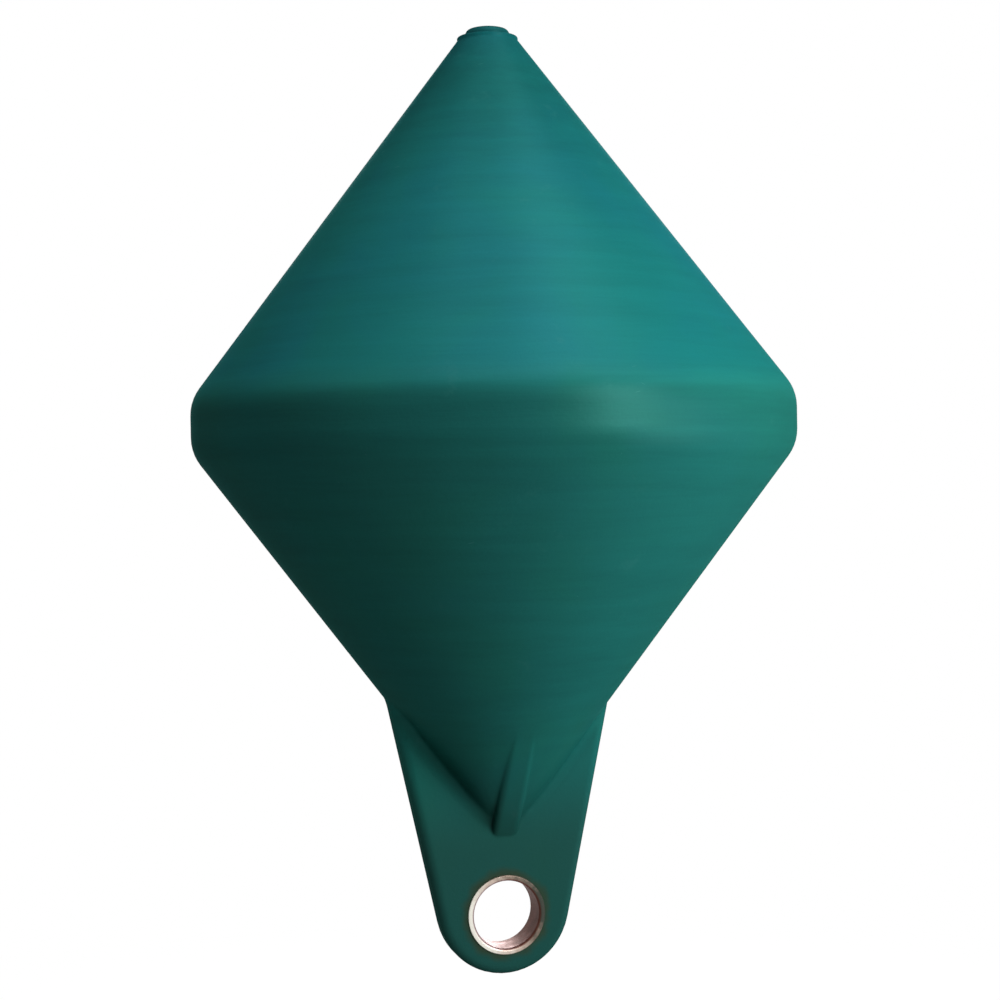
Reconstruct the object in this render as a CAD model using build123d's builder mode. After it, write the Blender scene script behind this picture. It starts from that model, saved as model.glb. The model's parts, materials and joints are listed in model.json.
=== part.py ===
from build123d import *
from math import cos, radians, sin, sqrt, tan
import os

# Navigation buoy: a plastic float of two cones set base to base, moulded in one with a
# mooring lug and its ribs, a plug in the filling hole at the apex, and a metal sleeve
# through the lug's eye. Millimetres, +Z up. X runs across the lug and Y along the axis of
# the eye. The origin is on the float's own axis, at the waterline.

# Float: two cones joined by an upright belt
belt_diameter = 320.0
belt_height = 27.4  # between the corners where belt and cones would meet sharp
belt_above_water = 30.7  # from the waterline up to the belt's middle
belt_rounding = 24.0  # radius between the belt and each cone
upper_half_angle = 37.2  # degrees, from the axis to the upper cone's side
lower_half_angle = 36.9  # degrees, from the axis to the lower cone's side

# Filling neck and plug at the apex
neck_diameter = 32.4
neck_height = 2.0  # of the neck's upright side
neck_rounding = 0.8
hole_diameter = 19.0
hole_depth = 12.0
neck_ledge = 4.4  # width of the neck's top outside the plug's head
plug_head_height = 5.5
plug_rim_height = 3.5
plug_rim_rounding = 3.0
plug_end_gap = 1.0  # between the plug's end and the bottom of its hole
plug_lead_in = 1.5

# Mooring lug: a flat plate in the XZ plane that tapers down to its rounded end
lug_length = 67.0  # from the lower cone's sharp point down to the lug's bottom
lug_thickness = 16.0
lug_end_radius = 36.0
lug_half_taper = 12.2  # degrees, from the axis to each side
lug_edge_rounding = 4.5
lug_outline_rounding = 35.0  # in the outline, where each side runs into the cone
lug_outline_cover = 1.2  # depth of the outline's upper end under the cone's surface
lug_root_rounding = 8.0  # all round the plate, where it meets the cone
eye_above_bottom = 32.3  # from the lug's bottom up to the eye's axis

# Rib across the lug, standing on both of its faces, from the cone's point upwards
rib_thickness = 15.0
rib_top_above_point = 84.0
rib_top_cover = 0.8  # depth of the rib's top end under the cone's surface
rib_foot_above_point = 21.5
rib_foot_radius = 19.0  # from the axis out to the rib's edge at its foot
rib_foot_fall = 14.5  # height over which the foot slopes back to the plate's face
rib_edge_rounding = 3.5

# Metal sleeve through the eye
sleeve_bore = 36.0
sleeve_wall = 1.5
sleeve_lip_width = 1.7  # beyond the tube, over the plate's face
sleeve_lip_thickness = 1.3
sleeve_mouth_rounding = 1.6
sleeve_lip_rounding = 0.7

# Heights and radii of the float
belt_radius = belt_diameter / 2
belt_top = belt_above_water + belt_height / 2
belt_bottom = belt_above_water - belt_height / 2
upper_slope = tan(radians(upper_half_angle))
lower_slope = tan(radians(lower_half_angle))
upper_point = belt_top + belt_radius / upper_slope
lower_point = belt_bottom - belt_radius / lower_slope
neck_top = upper_point - neck_diameter / 2 / upper_slope + neck_height

# The lug's outline: its end, and the turn where its tapered sides have reached the cone
lug_bottom = lower_point - lug_length
eye_height = lug_bottom + eye_above_bottom
end_height = lug_bottom + lug_end_radius
side_slope = tan(radians(lug_half_taper))
side_start_x = lug_end_radius * cos(radians(lug_half_taper))
side_start_z = end_height - lug_end_radius * sin(radians(lug_half_taper))
end_half_width = lug_end_radius / cos(radians(lug_half_taper))
end_below_point = lower_point - end_height
cover_x = lug_outline_cover / cos(radians(lower_half_angle))
turn_reach = end_half_width + end_below_point * lower_slope + cover_x
turn_z = end_height + turn_reach / (lower_slope - side_slope)
turn_x = end_half_width + (turn_z - end_height) * side_slope
# Above the turn the outline runs along the cone's side, a little inside it
plate_top = turn_z + lug_outline_rounding
plate_top_x = turn_x + lug_outline_rounding * lower_slope


# Two cones and their belt, cut off at the apex and topped by the filling neck
with BuildPart() as bicone:
    with BuildSketch(Plane.XZ):
        with BuildLine():
            FilletPolyline(
                (0, lower_point),
                (belt_radius, belt_bottom),
                (belt_radius, belt_top),
                (0, upper_point),
                radius=(belt_rounding, belt_rounding),
            )
            Line((0, upper_point), (0, lower_point))
        make_face()
    revolve(axis=Axis.Z)
    split(bisect_by=Plane.XY.offset(neck_top), keep=Keep.BOTTOM)
    with BuildSketch(Plane.XY.offset(neck_top)):
        Circle(neck_diameter / 2)
    extrude(amount=-hole_depth)
    fillet(bicone.edges().group_by(Axis.Z)[-1], neck_rounding)

# The lug's plate, which runs on up inside the cone
with BuildPart() as lug_plate:
    with BuildSketch(Plane.XZ):
        with BuildLine():
            ThreePointArc(
                (-side_start_x, side_start_z),
                (0, lug_bottom),
                (side_start_x, side_start_z),
            )
            FilletPolyline(
                (side_start_x, side_start_z),
                (turn_x, turn_z),
                (plate_top_x, plate_top),
                (-plate_top_x, plate_top),
                (-turn_x, turn_z),
                (-side_start_x, side_start_z),
                radius=(lug_outline_rounding, 0, 0, lug_outline_rounding),
            )
        make_face()
    extrude(amount=lug_thickness / 2, both=True)
    plate_faces = lug_plate.faces().sort_by(Axis.Y)
    outline_edges = plate_faces[0].edges() + plate_faces[-1].edges()
    fillet(outline_edges.sort_by(Axis.Z)[:-2], lug_edge_rounding)

# The rib, whose edge lies a little steeper than the cone's side and so stands out of it
with BuildPart() as rib:
    with BuildSketch(Plane.YZ):
        with BuildLine():
            cone_radius_at_top = rib_top_above_point * lower_slope
            top_y = sqrt(cone_radius_at_top**2 - (rib_thickness / 2) ** 2) - rib_top_cover
            top_z = lower_point + rib_top_above_point
            foot_z = lower_point + rib_foot_above_point
            end_y = lug_thickness / 2
            end_z = foot_z - rib_foot_fall
            Polyline(
                (-end_y, end_z),
                (end_y, end_z),
                (rib_foot_radius, foot_z),
                (top_y, top_z),
                (-top_y, top_z),
                (-rib_foot_radius, foot_z),
                close=True,
            )
        make_face()
    extrude(amount=rib_thickness / 2, both=True)
    side_faces = rib.faces().sort_by(Axis.X)
    side_edges = side_faces[0].edges() + side_faces[-1].edges()
    fillet(side_edges.sort_by(Axis.Z)[2:-2], rib_edge_rounding)

# The moulding: float, lug and rib in one, with the filling hole and the eye
with BuildPart() as float_body:
    add(bicone.part)
    add(lug_plate.part)
    root_edges = new_edges(bicone.part, lug_plate.part, combined=float_body.part)
    fillet(root_edges, lug_root_rounding)
    add(rib.part)
    with Locations((0, 0, neck_top)):
        Hole(hole_diameter / 2, depth=hole_depth)
    with BuildSketch(Plane.XZ):
        with Locations((0, eye_height)):
            Circle(sleeve_bore / 2 + sleeve_wall)
    extrude(amount=lug_thickness, both=True, mode=Mode.SUBTRACT)
float_body.part.label = "float_body"

# The plug: a domed head on the neck and a grip that fills the hole below it
with BuildPart() as fill_plug:
    with BuildSketch(Plane.XZ):
        with BuildLine():
            head_radius = neck_diameter / 2 - neck_ledge
            grip_radius = hole_diameter / 2
            head_top = neck_top + plug_head_height
            rim_top = neck_top + plug_rim_height
            grip_end = neck_top - hole_depth + plug_end_gap
            dome_height = plug_head_height - plug_rim_height
            dome_radius = (head_radius**2 + dome_height**2) / (2 * dome_height)
            Polyline(
                (0, head_top),
                (0, grip_end),
                (grip_radius - plug_lead_in, grip_end),
                (grip_radius, grip_end + plug_lead_in),
                (grip_radius, neck_top),
                (head_radius, neck_top),
                (head_radius, rim_top),
            )
            RadiusArc((head_radius, rim_top), (0, head_top), -dome_radius)
        make_face()
    revolve(axis=Axis.Z)
    round_edges = fill_plug.edges().filter_by(lambda edge: edge.is_closed)
    fillet(round_edges.sort_by(Axis.Z)[-1], plug_rim_rounding)
fill_plug.part.label = "fill_plug"

# The sleeve: a tube through the lug with its ends turned out over both faces
with BuildPart() as eye_sleeve:
    with BuildSketch(Plane.YZ):
        with BuildLine():
            bore_z = eye_height + sleeve_bore / 2
            tube_z = bore_z + sleeve_wall
            lip_z = tube_z + sleeve_lip_width
            face_y = lug_thickness / 2
            lip_y = face_y + sleeve_lip_thickness
            mouth = sleeve_mouth_rounding
            lip = sleeve_lip_rounding
            FilletPolyline(
                (-lip_y, bore_z),
                (lip_y, bore_z),
                (lip_y, lip_z),
                (face_y, lip_z),
                (face_y, tube_z),
                (-face_y, tube_z),
                (-face_y, lip_z),
                (-lip_y, lip_z),
                radius=(mouth, mouth, lip, 0, 0, 0, 0, lip),
                close=True,
            )
        make_face()
    revolve(axis=Axis((0, 0, eye_height), (0, 1, 0)))
eye_sleeve.part.label = "eye_sleeve"

os.makedirs("parts", exist_ok=True)
export_step(float_body.part, "parts/float_body.step")
export_step(fill_plug.part, "parts/fill_plug.step")
export_step(eye_sleeve.part, "parts/eye_sleeve.step")
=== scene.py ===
import bmesh
import bpy
import json
from math import cos, radians, sin
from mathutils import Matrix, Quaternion, Vector


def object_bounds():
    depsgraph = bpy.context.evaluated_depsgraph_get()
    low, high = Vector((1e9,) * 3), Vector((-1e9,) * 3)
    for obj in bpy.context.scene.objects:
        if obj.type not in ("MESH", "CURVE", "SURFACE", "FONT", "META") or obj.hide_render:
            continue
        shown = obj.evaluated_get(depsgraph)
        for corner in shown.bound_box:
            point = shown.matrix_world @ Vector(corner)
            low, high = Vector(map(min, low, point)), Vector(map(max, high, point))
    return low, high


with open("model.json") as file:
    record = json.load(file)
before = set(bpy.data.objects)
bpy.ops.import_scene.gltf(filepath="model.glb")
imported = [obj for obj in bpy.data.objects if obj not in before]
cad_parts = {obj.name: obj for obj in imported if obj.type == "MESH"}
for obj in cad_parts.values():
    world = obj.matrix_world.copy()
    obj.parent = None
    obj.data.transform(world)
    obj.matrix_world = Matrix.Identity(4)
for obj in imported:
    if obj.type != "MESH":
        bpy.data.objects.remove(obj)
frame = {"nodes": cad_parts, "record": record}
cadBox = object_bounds()
nodes = frame["nodes"]
mounts = {mount["name"]: mount for mount in frame["record"]["mounts"]}
eyeHeight = mounts["mooring_eye"]["pos_m"][2]
print("navigation buoy: solids loaded")


# Shader sums: a wire is one socket, and arithmetic on it adds Math nodes
class Wire:
    def __init__(self, finish, socket):
        self.finish = finish
        self.socket = socket

    def out(self, name):  # another output of the same node
        return Wire(self.finish, self.socket.node.outputs[name])

    def math(self, operation, *values):
        return self.finish.node("ShaderNodeMath", {"operation": operation}, dict(enumerate(values)))

    def larger(self, other):
        return self.math("MAXIMUM", self, other)

    def __add__(self, other):
        return self.math("ADD", self, other)

    def __radd__(self, other):
        return self.math("ADD", other, self)

    def __sub__(self, other):
        return self.math("SUBTRACT", self, other)

    def __rsub__(self, other):
        return self.math("SUBTRACT", other, self)

    def __mul__(self, other):
        return self.math("MULTIPLY", self, other)

    def __rmul__(self, other):
        return self.math("MULTIPLY", other, self)


# The nodes of one material or of the world
class Finish:
    def __init__(self, owner):
        owner.use_nodes = True
        self.owner = owner
        self.tree = owner.node_tree
        self.tree.nodes.clear()

    # Adds a node from its type, its settings, and the values or links of its sockets
    def node(self, kind, settings=None, sockets=None, output=0):
        made = self.tree.nodes.new(kind)
        for name, value in (settings or {}).items():
            if name == "stops":
                ramp = made.color_ramp
                while len(ramp.elements) < len(value):
                    ramp.elements.new(1)
                for element, (position, colour) in zip(ramp.elements, value):
                    element.position = position
                    element.color = (*colour, 1)
            else:
                setattr(made, name, value)
        for name, value in (sockets or {}).items():
            named = [socket for socket in made.inputs if socket.identifier == name]
            socket = named[0] if named else made.inputs[name]
            if isinstance(value, Wire):
                self.tree.links.new(value.socket, socket)
            elif socket.type == "RGBA":
                socket.default_value = (*value, 1)
            else:
                socket.default_value = value
        return Wire(self, made.outputs[output]) if made.outputs else None

    def vector(self, operation, first, second=None, output=0):
        sockets = {0: first} if second is None else {0: first, 1: second}
        return self.node("ShaderNodeVectorMath", {"operation": operation}, sockets, output)

    def length(self, place):
        return self.vector("LENGTH", place, output="Value")

    def stretch(self, place, factors):  # a place with its axes multiplied
        return self.vector("MULTIPLY", place, factors)

    def shade(self, colour, factor):  # a colour made lighter or darker
        return self.node("ShaderNodeVectorMath", {"operation": "SCALE"}, {0: colour, "Scale": factor})

    def place(self):  # where on the buoy, in metres
        return self.node("ShaderNodeTexCoord", output="Object")

    def xyz(self, place):
        return self.node("ShaderNodeSeparateXYZ", None, {"Vector": place})

    def fromEye(self, place):  # the place with the eye's middle at zero
        return self.vector("SUBTRACT", place, (0, 0, eyeHeight))

    def noise(self, place, scale, detail=3, roughness=0.5, distortion=0):
        return self.node("ShaderNodeTexNoise", {"noise_dimensions": "3D"}, {
            "Vector": place,
            "Scale": scale,
            "Detail": detail,
            "Roughness": roughness,
            "Distortion": distortion,
        })

    def step(self, value, low, high, bottom=0.0, top=1.0):  # a soft step from bottom to top
        sockets = {"Value": value, "From Min": low, "From Max": high, "To Min": bottom, "To Max": top}
        return self.node("ShaderNodeMapRange", {"interpolation_type": "SMOOTHSTEP"}, sockets)

    def blend(self, factor, first, second):  # two colours
        settings = {"data_type": "RGBA", "blend_type": "MIX"}
        sockets = {"Factor_Float": factor, "A_Color": first, "B_Color": second}
        return self.node("ShaderNodeMix", settings, sockets, "Result")

    def bump(self, height, distance, under=None):
        sockets = {"Height": height, "Distance": distance}
        if under:
            sockets["Normal"] = under
        return self.node("ShaderNodeBump", None, sockets, "Normal")

    def seenDirectly(self):  # 1 for what the camera, a reflection or a see-through surface shows
        camera = self.node("ShaderNodeLightPath", output="Is Camera Ray")
        return camera.larger(camera.out("Is Glossy Ray")).larger(camera.out("Is Transmission Ray"))

    def finish(self, sockets):
        shader = self.node("ShaderNodeBsdfPrincipled", None, sockets)
        self.node("ShaderNodeOutputMaterial", None, {"Surface": shader})
        return self.owner


def newMaterial(name):
    return Finish(bpy.data.materials.new(name))


def paint(name, material):
    for slot in nodes[name].material_slots:
        slot.material = material


# Float: moulded sea-green polyethylene. Heights, from the waterline, and sizes are in metres
floatSkin = {
    "upperBlue": (0.009, 0.176, 0.190),
    "upperGreen": (0.009, 0.184, 0.174),
    # below the belt the tints are greener, and darker as painted shade
    "lowerBlue": (0.013, 0.163, 0.146),
    "lowerGreen": (0.013, 0.168, 0.139),
    "tintHeights": (0.040, 0.060),  # from the lower tints to the upper
    "patchScale": 11,
    "patchEdge": (0.36, 0.64),
    "lineSpread": 5,
    "linesPerMetre": 620,
    "lineHeights": (-0.165, -0.120),  # the turning lines fade out above the lug
    "lineTone": 0.15,
    "wideLineTone": 0.28,
    "cloudScale": 7,
    "cloudTone": 0.26,
    "grainScale": 900,
    "grainTone": 0.10,
    "beltShadeTone": -0.16,  # painted shade: the upright belt is darker than the cones
    "beltFoot": (0.008, 0.022),
    "beltHead": (0.0455, 0.038),
    "rimHighlightTone": 0.08,  # and a painted highlight makes its upper rim paler
    "rimFoot": (0.0425, 0.0465),
    "rimHead": (0.0540, 0.0485),
    "apexTone": -0.20,  # the top of the upper cone is a little darker
    "apexHeights": (0.130, 0.225),
    "chalk": (0.060, 0.260, 0.240),  # where the plastic is scuffed or rubbed
    "scuffScale": 24,
    "scuffEdge": (0.60, 0.68),
    "scuffStrength": 0.55,
    "rubbedScale": 60,
    "rubbedEdge": (0.62, 0.74),
    "rubbedStrength": 0.105,
    # painted shade: the lug under the cone is darker
    "lugShade": (1.25, 0.65, 0.62),
    "lugShadeHeights": (-0.138, -0.200),
    "stainAndShade": (0.050, 0.070, 0.036),  # a dark ring round the eye: a stain from the metal, and painted contact shade
    "stainAndShadeReach": 0.0262,
    "stainAndShadeCore": 0.0212,
    "stainAndShadeRagScale": 110,
    "stainAndShadeRag": 0.006,
    "stainAndShadeStrength": 0.75,
    # painted shade in the creases, found by ambient occlusion
    "creaseShadeColour": (0.008, 0.048, 0.044),
    "creaseSize": 0.020,
    "creaseEdge": (0.92, 0.50),  # openness where the painted shade starts and where it is full
    "creaseShadeScale": 90,
    "creaseShadeStrength": (0.62, 0.45),  # everywhere in the crease, and in patches
    "roughness": 0.36,
    "lineRoughness": 0.10,
    "cloudRoughness": 0.14,
    "chalkRoughness": 0.18,
    "creaseShadeRoughness": 0.25,
    "specular": 0.0,
    "sheen": 0.12,  # share of reflection in the pigment's own colour
    "sheenEdge": (0.02, 0.32, 0.30),
    "wetFilm": 0.016,
    "filmIndex": 3.0,
    "waveScale": 9,
    "waveDepth": 0.0016,
    "peelScale": 520,
    "peelDepth": 0.00006,
    "lineDepth": 0.00006,
    "softEdge": 0.003,
}

# Scuffs run in two directions: their tilt, how the cells are drawn out, and how wide the marks are
scuffSets = [
    {"tilt": 0.25, "cells": (38, 38, 420), "width": 0.085},
    {"tilt": 1.05, "cells": (300, 300, 46), "width": 0.07},
]


def scuffMarks(f, place, scuffSet):  # the middles of long thin cells
    settings = {"rotation_type": "Y_AXIS"}
    turned = f.node("ShaderNodeVectorRotate", settings, {"Vector": place, "Angle": scuffSet["tilt"]})
    cells = {"Vector": f.stretch(turned, scuffSet["cells"]), "Scale": 1.0}
    distance = f.node("ShaderNodeTexVoronoi", None, cells, "Distance")
    return f.step(distance, scuffSet["width"] * 0.4, scuffSet["width"], 1.0, 0.0)


def floatFinish(name, skin):
    f = newMaterial(name)
    place = f.place()
    height = f.xyz(place).out("Z")

    # turning lines run round the float's axis, and fade on the flat lug
    around = f.vector("NORMALIZE", f.stretch(place, (1, 1, 0)))
    spread = f.stretch(around, (skin["lineSpread"],) * 3)
    lift = f.stretch(place, (0, 0, skin["linesPerMetre"]))
    rings = f.vector("ADD", spread, lift)
    lines = f.noise(rings, 1.0, 5, 0.62)
    onFloat = f.step(height, *skin["lineHeights"])
    lineTone = (lines - 0.5) * onFloat
    wideTone = (f.noise(rings, 0.23) - 0.5) * onFloat

    # pigment varies in soft patches, and differs above and below the belt: below it is greener, and
    # darker as painted shade
    hue = f.step(f.noise(place, skin["patchScale"], 4, 0.55, 0.4), *skin["patchEdge"])
    upper = f.blend(hue, skin["upperBlue"], skin["upperGreen"])
    lower = f.blend(hue, skin["lowerBlue"], skin["lowerGreen"])
    pigment = f.blend(f.step(height, *skin["tintHeights"]), lower, upper)

    # lighter and darker: the lines, clouds, grain, painted shade on the belt, a painted highlight on
    # its rim, and the apex
    clouds = f.noise(place, skin["cloudScale"]) - 0.5
    grain = f.noise(place, skin["grainScale"], 2) - 0.5
    belt = f.step(height, *skin["beltFoot"]) * f.step(height, *skin["beltHead"])
    rim = f.step(height, *skin["rimFoot"]) * f.step(height, *skin["rimHead"])
    tone = 1.0 + skin["lineTone"] * lineTone + skin["wideLineTone"] * wideTone
    tone = tone + skin["cloudTone"] * clouds + skin["grainTone"] * grain
    # painted shade on the belt, and a painted highlight on its upper rim
    tone = tone + skin["beltShadeTone"] * belt + skin["rimHighlightTone"] * rim
    tone = tone + skin["apexTone"] * f.step(height, *skin["apexHeights"])
    colour = f.shade(pigment, tone)

    # short pale scuffs, few and in places, and rubbed patches
    first, second = [scuffMarks(f, place, scuffSet) for scuffSet in scuffSets]
    scuffs = first.larger(second) * f.step(f.noise(place, skin["scuffScale"], 2), *skin["scuffEdge"])
    rubbed = f.step(f.noise(place, skin["rubbedScale"], 5, 0.65), *skin["rubbedEdge"])
    chalk = (scuffs * skin["scuffStrength"]).larger(rubbed * skin["rubbedStrength"])
    colour = f.blend(chalk, colour, skin["chalk"])

    # painted shade darkens the lug, and a dark ring of stain and painted contact shade lies round its
    # eye
    lugShadeMask = f.step(height, *skin["lugShadeHeights"])
    colour = f.blend(lugShadeMask, colour, f.vector("MULTIPLY", colour, skin["lugShade"]))
    # a dark ring hugging the sleeve: stain and painted contact shade
    fromAxis = f.length(f.stretch(f.fromEye(place), (1, 0, 1)))
    ragged = skin["stainAndShadeRag"] * (f.noise(place, skin["stainAndShadeRagScale"]) - 0.5)
    stainAndShade = f.step(fromAxis + ragged, skin["stainAndShadeReach"], skin["stainAndShadeCore"])
    colour = f.blend(stainAndShade * skin["stainAndShadeStrength"], colour, skin["stainAndShade"])

    # painted shade darkens the creases where the rib, the cone and the lug meet
    settings = {"samples": 8, "only_local": True}
    openness = f.node("ShaderNodeAmbientOcclusion", settings, {"Distance": skin["creaseSize"]}, "AO")
    even, patchy = skin["creaseShadeStrength"]
    creaseShade = f.step(openness, *skin["creaseEdge"]) * (even + patchy * f.noise(place, skin["creaseShadeScale"]))
    colour = f.blend(creaseShade, colour, skin["creaseShadeColour"])

    # long waves, turning lines and orange peel on softened edges
    softened = f.node("ShaderNodeBevel", {"samples": 6}, {"Radius": skin["softEdge"]})
    normal = f.bump(f.noise(place, skin["waveScale"], 2), skin["waveDepth"], softened)
    normal = f.bump(lines * onFloat, skin["lineDepth"], normal)
    peel = f.noise(place, skin["peelScale"], 2)
    normal = f.bump(peel - 0.6 * scuffs, skin["peelDepth"], normal)

    roughness = skin["roughness"] + skin["lineRoughness"] * lineTone + skin["cloudRoughness"] * clouds
    roughness = roughness + skin["chalkRoughness"] * chalk + skin["creaseShadeRoughness"] * creaseShade
    return f.finish({
        "Base Color": colour,
        "Roughness": roughness,
        "Normal": normal,
        "Metallic": skin["sheen"],
        "Specular IOR Level": skin["specular"],
        "Specular Tint": skin["sheenEdge"],
        "Coat Weight": skin["wetFilm"],
        "Coat IOR": skin["filmIndex"],
        "Coat Roughness": skin["roughness"],
    })


paint("float_body", floatFinish("float plastic", floatSkin))
print("float: plastic finish made")

# Plug: the same plastic from another mould, a shade darker
plugSkin = {
    **floatSkin,
    "upperBlue": (0.010, 0.150, 0.160),
    "upperGreen": (0.010, 0.158, 0.146),
    "linesPerMetre": 1400,
    "softEdge": 0.0008,
}
paint("fill_plug", floatFinish("plug plastic", plugSkin))
print("plug: plastic finish made")

# Sleeve: plated brass with blotchy tarnish, brown in the bore; painted light and shade make it bright
# on the left and bottom and dark on the right and top
sleeveMetal = {
    "lip": [  # from bright to dark, for tarnish and for painted light and shade
        (0.08, (0.78, 0.76, 0.68)),
        (0.40, (0.55, 0.45, 0.38)),
        (0.62, (0.24, 0.18, 0.14)),
        (0.84, (0.05, 0.055, 0.042)),
    ],
    "bore": [
        (0.20, (0.42, 0.29, 0.29)),
        (0.50, (0.15, 0.05, 0.036)),
        (0.85, (0.07, 0.022, 0.012)),
    ],
    "boreEdge": (0.0194, 0.0185),
    "lipTarnish": 0.46,
    "boreTarnish": 0.42,
    "shadeAcross": 20,  # painted shade, more on the right side than on the left
    # painted shade, more towards the top
    "shadeUpwards": 6,
    "blotchScale": 160,
    "lipBlotch": 0.7,
    "boreBlotch": 0.6,
    "scratchScale": 700,
    "scratchDepth": 0.00008,
    "metallic": 0.95,
    "roughness": 0.34,
}


def sleeveFinish(metal):
    f = newMaterial("sleeve metal")
    place = f.place()
    offset = f.fromEye(place)
    sides = f.xyz(offset)
    blotch = f.noise(place, metal["blotchScale"], 5, 0.6)
    scratches = f.noise(f.stretch(place, (1, 6, 1)), metal["scratchScale"], 3, 0.6)
    inBore = f.step(f.length(f.stretch(offset, (1, 0, 1))), *metal["boreEdge"])

    # painted light and shade: darker to the right and top, brighter to the left and bottom
    across = metal["shadeAcross"] * sides.out("X")
    upwards = metal["shadeUpwards"] * sides.out("Z")
    onLip = metal["lipTarnish"] + across + upwards + metal["lipBlotch"] * (blotch - 0.5)
    inside = metal["boreTarnish"] + across + metal["boreBlotch"] * (blotch - 0.5)
    tarnishAndShade = onLip * (1.0 - inBore) + inside * inBore
    lip = f.node("ShaderNodeValToRGB", {"stops": metal["lip"]}, {"Fac": onLip})
    bore = f.node("ShaderNodeValToRGB", {"stops": metal["bore"]}, {"Fac": inside})
    dulled = 0.18 * f.step(tarnishAndShade, 0.2, 0.9) + 0.12 * inBore + 0.14 * (scratches - 0.5)
    return f.finish({
        "Base Color": f.blend(inBore, lip, bore),
        "Metallic": metal["metallic"] - 0.30 * f.step(tarnishAndShade, 0.3, 0.9),
        "Roughness": metal["roughness"] + dulled,
        "Normal": f.bump(scratches + 0.5 * blotch, metal["scratchDepth"]),
    })


paint("eye_sleeve", sleeveFinish(sleeveMetal))
print("sleeve: metal finish made")


def towards(turn, rise):  # the direction of a place seen from the buoy, turn 0 in front of the lug
    turn, rise = radians(turn), radians(rise)
    return Vector((sin(turn) * cos(rise), -cos(turn) * cos(rise), sin(rise)))


def addObject(name, data, location=(0, 0, 0), rotation=(1, 0, 0, 0)):
    made = bpy.data.objects.new(name, data)
    bpy.context.scene.collection.objects.link(made)
    made.location = location
    made.rotation_mode = "QUATERNION"
    made.rotation_quaternion = rotation
    return made


# Camera, nearly level with the waterline, a little to the left of the lug's face
viewCamera = {
    "lens": 67.25,
    "sensor": 36,
    "clip": (0.05, 50),
    "distance": 1.0,
    "turn": -15.6,
    "rise": 0.9,
    "lean": -1.0,
    "aim": (0.0028, 0.0008, -0.0103),
}
cameraData = bpy.data.cameras.new("camera")
cameraData.lens = viewCamera["lens"]
cameraData.sensor_width = viewCamera["sensor"]
cameraData.clip_start, cameraData.clip_end = viewCamera["clip"]
away = towards(viewCamera["turn"], viewCamera["rise"])
spot = Vector(viewCamera["aim"]) + away * viewCamera["distance"]
lean = Quaternion((0, 0, 1), radians(viewCamera["lean"]))
facing = (-away).to_track_quat("-Z", "Y") @ lean
bpy.context.scene.camera = addObject("camera", cameraData, spot, facing)
print("camera placed")

# Soft studio lamps: turn and rise as seen from the buoy in degrees, power in watts
lamps = {
    "topLamp": {
        "turn": -10, "rise": 70, "distance": 1.5,
        "size": (1.0, 1.0), "power": 4.2, "gloss": True,
    },
    "topRightLamp": {
        "turn": 48, "rise": 62, "distance": 1.5,
        "size": (0.7, 0.7), "power": 4.6, "gloss": True,
    },
    "topLeftLamp": {
        "turn": -105, "rise": 58, "distance": 1.5,
        "size": (1.4, 1.4), "power": 2.3, "gloss": True,
    },
    "keyLamp": {
        "turn": 27, "rise": 13, "distance": 0.8,
        "size": (0.26, 0.5), "power": 3.3, "gloss": True,
    },
    "lowKeyLamp": {
        "turn": 36, "rise": -4, "distance": 0.34,
        "size": (0.12, 0.16), "power": 0.15, "gloss": True,
    },
    "sideLamp": {
        "turn": 80, "rise": -20, "distance": 1.4,
        "size": (1.2, 1.2), "power": 15, "gloss": False,
    },
    "backLamp": {
        "turn": 164, "rise": 12, "distance": 2.0,
        "size": (1.2, 1.2), "power": 22, "gloss": True,
    },
}
for name, lamp in lamps.items():
    lampData = bpy.data.lights.new(name, "AREA")
    lampData.shape = "RECTANGLE"
    lampData.size, lampData.size_y = lamp["size"]
    lampData.energy = lamp["power"]
    direction = towards(lamp["turn"], lamp["rise"])
    spot = direction * lamp["distance"]
    lampObject = addObject(name, lampData, spot, direction.to_track_quat("Z", "Y"))
    lampObject.visible_camera = False
    lampObject.visible_glossy = lamp["gloss"]
print("lamps placed")

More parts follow.
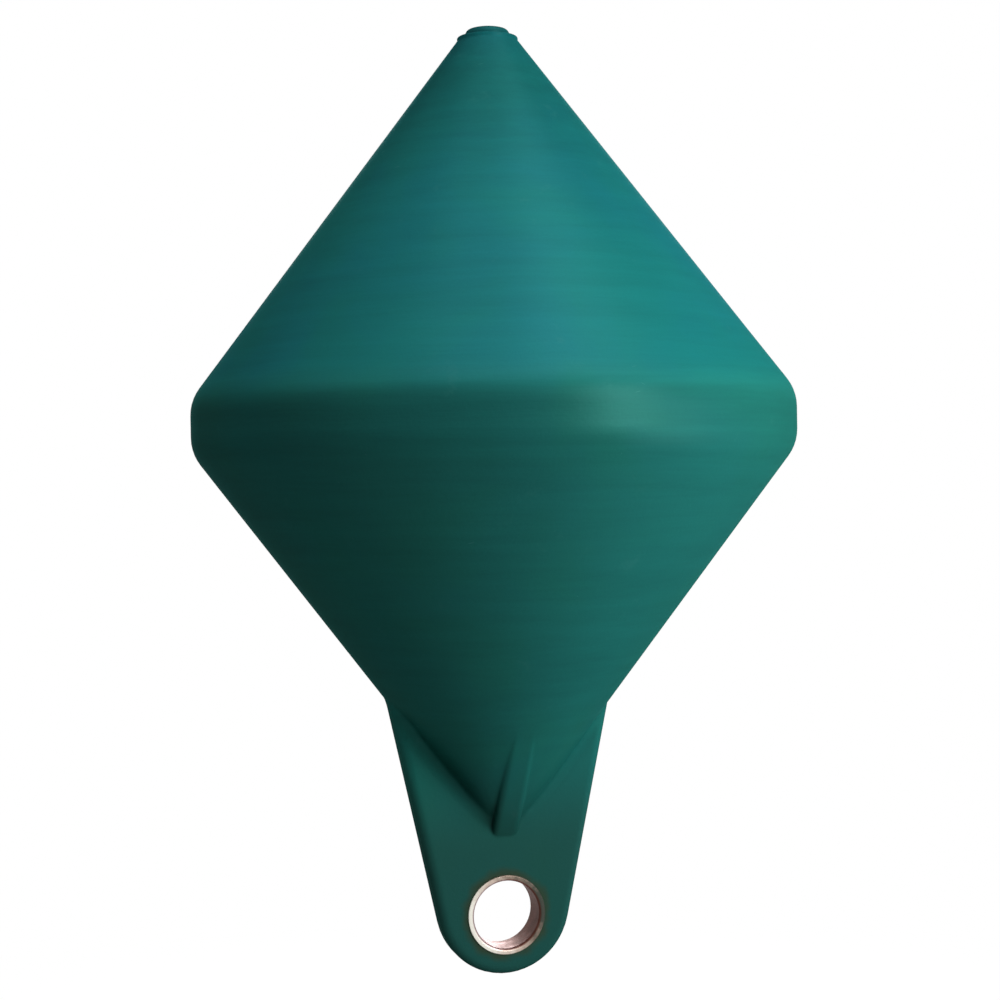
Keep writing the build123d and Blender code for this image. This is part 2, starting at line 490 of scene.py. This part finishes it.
# World: white behind the buoy, and a dim even light all round
worldLight = {"behind": 1.0, "around": 0.05}
studio = Finish(bpy.data.worlds.new("studio"))
strength = studio.step(studio.seenDirectly(), 0, 1, worldLight["around"], worldLight["behind"])
background = studio.node("ShaderNodeBackground", None, {"Color": (1, 1, 1), "Strength": strength})
studio.node("ShaderNodeOutputWorld", None, {"Surface": background})
bpy.context.scene.world = studio.owner

# Floor: a pale disc some way under the lug, which takes the buoy's soft shadow
studioFloor = {
    "below": 0.34,
    "radius": 6.0,
    "segments": 96,
    "shadowReach": (0.7, 1.5),  # plain white beyond this
    "glow": 0.86,
    "paper": (0.22, 0.22, 0.22),
    "unseen": (0.12, 0.12, 0.12),  # dark for bounced light, so it hardly lights the buoy from below
}


def floorFinish():
    f = newMaterial("studio floor")
    reach = f.length(f.stretch(f.place(), (1, 1, 0)))
    white = f.node("ShaderNodeEmission", None, {"Color": (1, 1, 1), "Strength": 1.0})
    glow = f.node("ShaderNodeEmission", None, {"Color": (1, 1, 1), "Strength": studioFloor["glow"]})
    paper = f.node("ShaderNodeBsdfDiffuse", None, {"Color": studioFloor["paper"]})
    lit = f.node("ShaderNodeAddShader", None, {0: glow, 1: paper})
    far = f.step(reach, *studioFloor["shadowReach"])
    shown = f.node("ShaderNodeMixShader", None, {0: far, 1: lit, 2: white})
    unseen = f.node("ShaderNodeBsdfDiffuse", None, {"Color": studioFloor["unseen"]})
    surface = f.node("ShaderNodeMixShader", None, {0: f.seenDirectly(), 1: unseen, 2: shown})
    clear = f.node("ShaderNodeBsdfTransparent")
    under = f.node("ShaderNodeNewGeometry", output="Backfacing")
    oneSided = f.node("ShaderNodeMixShader", None, {0: under, 1: surface, 2: clear})
    f.node("ShaderNodeOutputMaterial", None, {"Surface": oneSided})
    return f.owner


def makeFloor():
    mesh = bpy.data.meshes.new("studioFloor")
    disc = bmesh.new()
    bmesh.ops.create_circle(
        disc, cap_ends=True, segments=studioFloor["segments"], radius=studioFloor["radius"]
    )
    bmesh.ops.translate(disc, vec=(0, 0, cadBox[0].z - studioFloor["below"]), verts=disc.verts)
    disc.to_mesh(mesh)
    disc.free()
    mesh.materials.append(floorFinish())
    addObject("studioFloor", mesh)


makeFloor()
print("world and floor made")

bpy.context.scene.view_settings.view_transform = "Standard"
